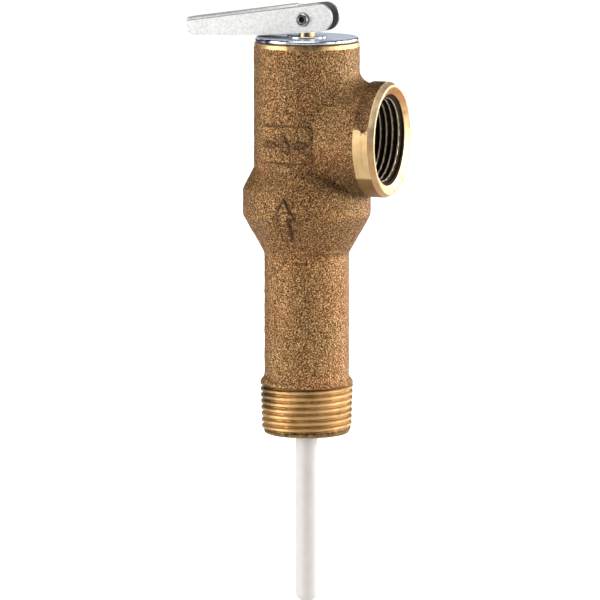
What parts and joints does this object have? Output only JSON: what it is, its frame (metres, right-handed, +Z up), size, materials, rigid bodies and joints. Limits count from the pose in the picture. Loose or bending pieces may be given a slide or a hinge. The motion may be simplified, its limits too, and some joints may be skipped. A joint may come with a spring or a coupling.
{
  "type": "temperature and pressure relief valve",
  "caption": "Cast bronze relief valve with a long threaded shank, side outlet, lift lever on a flat cap and a white temperature probe that hangs below the inlet.",
  "frame": {"origin": "on the inlet axis, on the gauge plane of the inlet thread, 8.6 mm above the inlet end", "axes": "+Z up the valve axis towards the cap, +X along the outlet's axis out of its mouth, the lever points along -X and the cast arrow faces -Y"},
  "size_m": [0.0622, 0.0373, 0.175],
  "materials": {
    "cast_bronze": "rough sand-cast bronze with turned threads, collar and top band",
    "zinc_cap": "bright zinc plating with a faint blue cast",
    "zinc_lever": "pale zinc-plated sheet",
    "rivet_steel": "plated steel, worn at the rim",
    "washer_steel": "bright plated steel",
    "stem_brass": "turned brass",
    "holder_brass": "turned brass",
    "nut_brass": "brass hexagon",
    "spring_steel": "drawn stainless wire",
    "plate_steel": "stainless sheet",
    "disc_rubber": "black moulded rubber",
    "gasket_fibre": "dark fibre",
    "tube_copper": "drawn copper",
    "coating_plastic": "off-white dip coating, satin",
    "wax": "hard wax",
    "plug_rubber": "black rubber",
    "rod_steel": "ground stainless rod",
    "head_brass": "turned brass",
    "guide_brass": "cast and turned brass",
    "ring_steel": "spring steel"
  },
  "bodies": {
    "body": {"valve_body": "cast_bronze", "spring_cap": "zinc_cap", "cap_gasket": "gasket_fibre", "stem_washer": "washer_steel", "main_spring": "spring_steel", "thermostat_tube": "tube_copper", "probe_coating": "coating_plastic", "wax_charge": "wax", "wax_plug": "plug_rubber", "probe_head": "head_brass", "probe_guide": "guide_brass", "guide_ring": "ring_steel"},
    "stem": {"valve_stem": "stem_brass", "disc_holder": "holder_brass", "seat_disc": "disc_rubber", "disc_retainer": "plate_steel", "retainer_nut": "nut_brass", "spring_plate": "plate_steel"},
    "lever": {"test_lever": "zinc_lever", "lever_rivet": "rivet_steel"},
    "rod": {"push_rod": "rod_steel"}
  },
  "joints": [
    {"name": "stem_lift", "type": "slide", "parent": "body", "child": "stem", "axis": [0, 0, 1], "range_m": [0, 0.0046], "stiffness_N_per_m": 11500, "deforming": ["main_spring"]},
    {"name": "lever_swing", "type": "hinge", "parent": "stem", "child": "lever", "pos_m": [0, 0, 0.11165], "axis": [0, 1, 0], "range_deg": [0, 90]},
    {"name": "rod_travel", "type": "slide", "parent": "body", "child": "rod", "axis": [0, 0, 1], "range_m": [0, 0.0031]}
  ],
  "couplings": [
    {"joint": "lever_swing", "follows": "stem_lift", "rad_per_m": 341.4}
  ]
}
